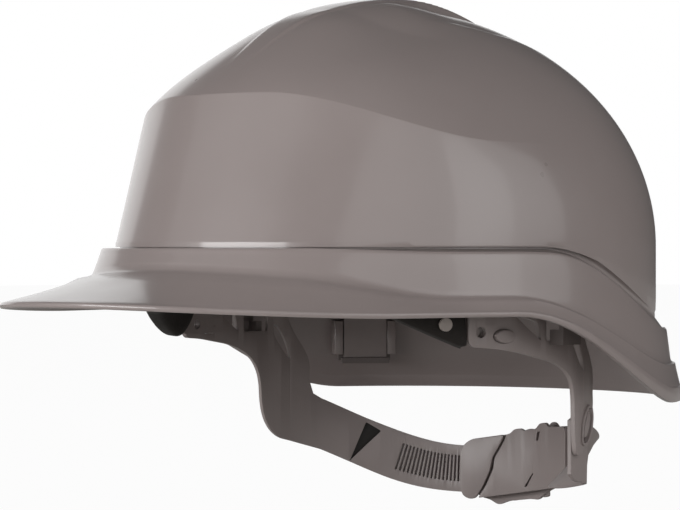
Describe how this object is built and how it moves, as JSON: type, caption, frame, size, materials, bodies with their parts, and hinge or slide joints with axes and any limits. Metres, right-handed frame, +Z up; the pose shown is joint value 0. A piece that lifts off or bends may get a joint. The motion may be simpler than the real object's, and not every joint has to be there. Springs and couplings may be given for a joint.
{
  "type": "safety helmet",
  "caption": "Peaked work helmet: ribbed moulded shell on a crown cradle, with a headband, sweatband and nape strap with a sliding buckle.",
  "frame": {"origin": "centre of the head seat, in the plane of the shell's side rim", "axes": "+Z up; -Y is where the wearer looks; +X is the wearer's left"},
  "size_m": [0.212, 0.2798, 0.1999],
  "materials": {
    "shell": "glossy moulded polyethylene",
    "harness": "satin moulded polyethylene",
    "clip": "satin moulded polyethylene",
    "sweatband": "black coated foam",
    "stud": "pale moulded plastic",
    "pin": "moulded plastic"
  },
  "bodies": {
    "shell_body": {"shell": "shell", "crown_cradle": "harness", "crown_pad": "sweatband", "clip_front_left": "clip", "clip_front_right": "clip", "clip_side_left": "clip", "clip_side_right": "clip", "clip_rear_left": "clip", "clip_rear_right": "clip"},
    "headband_body": {"forehead_band": "harness", "sweatband": "sweatband", "side_plate_left": "harness", "side_plate_right": "harness", "sweatband_stud_left": "stud", "sweatband_stud_right": "stud", "hanger_peg_left": "harness", "hanger_peg_right": "harness", "nape_strap_left": "harness", "nape_hook_left": "harness"},
    "buckle_body": {"buckle_frame": "harness", "buckle_plate": "harness", "buckle_loop": "harness", "catch_pin": "pin"},
    "catch_body": {"buckle_catch": "harness"}
  },
  "joints": [
    {"name": "headband_height", "type": "slide", "parent": "shell_body", "child": "headband_body", "axis": [0, 0, 1], "range_m": [-0.006, 0.004]},
    {"name": "size_slide", "type": "hinge", "parent": "headband_body", "child": "buckle_body", "pos_m": [0, 0, 0], "axis": [0, 0, 1], "range_deg": [-2, 3]},
    {"name": "catch_press", "type": "hinge", "parent": "buckle_body", "child": "catch_body", "pos_m": [0, 0.0874, -0.0565], "axis": [1, 0, 0], "range_deg": [0, 14], "stiffness_Nm_per_rad": 0.05}
  ]
}
